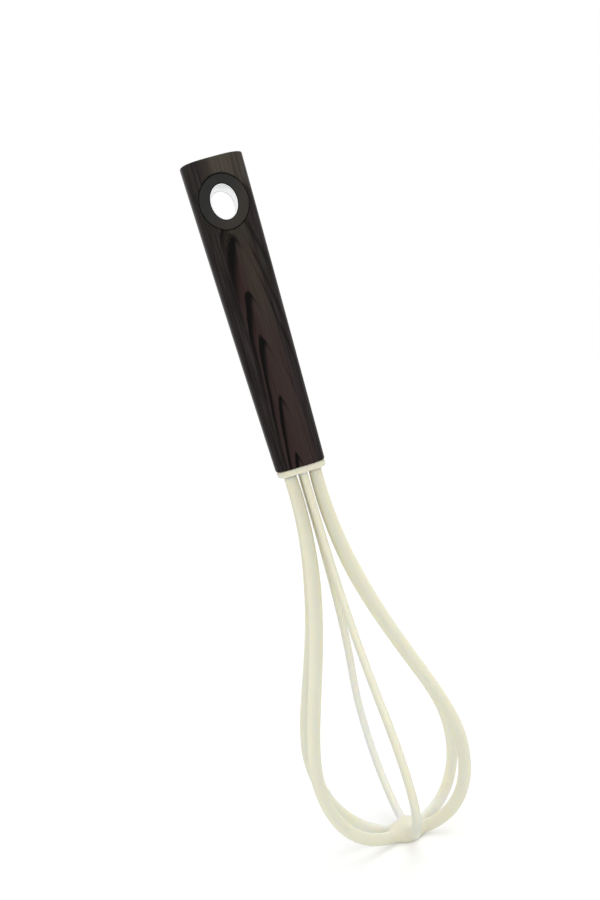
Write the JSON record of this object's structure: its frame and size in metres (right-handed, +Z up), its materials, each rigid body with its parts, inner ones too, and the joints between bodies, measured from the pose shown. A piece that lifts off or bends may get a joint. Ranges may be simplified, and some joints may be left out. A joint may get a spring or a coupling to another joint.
{
  "type": "silicone whisk",
  "caption": "Balloon whisk with oval silicone ribs on sprung wire loops, joined in a hub at the tip, and an oval wood grain handle with a hanging hole.",
  "frame": {"origin": "lowest point of the tip, on the whisk's long axis, at the bottom centre of its box", "axes": "+Z up the whisk from the tip to the handle's top, -Y out of the front face that shows the hanging hole, +X to the right seen from the front"},
  "size_m": [0.0662, 0.0764, 0.2868],
  "materials": {
    "handle_print": "satin plastic with a dark wood grain print",
    "tang_nylon": "plain moulded nylon",
    "eyelet_plastic": "fine matt dark grey",
    "liner_steel": "polished inside",
    "silicone": "smooth satin cream silicone",
    "spring_wire": "drawn spring steel"
  },
  "bodies": {
    "root": {"handle_shell": "handle_print", "handle_tang": "tang_nylon", "eyelet_front": "eyelet_plastic", "eyelet_back": "eyelet_plastic", "eyelet_liner": "liner_steel", "collar": "silicone", "rib_front": "silicone", "rib_back": "silicone", "rib_front_left": "silicone", "rib_front_right": "silicone", "rib_back_left": "silicone", "rib_back_right": "silicone", "tip_hub": "silicone", "wire_centre": "spring_wire", "wire_left_front": "spring_wire", "wire_right_front": "spring_wire"}
  },
  "joints": []
}
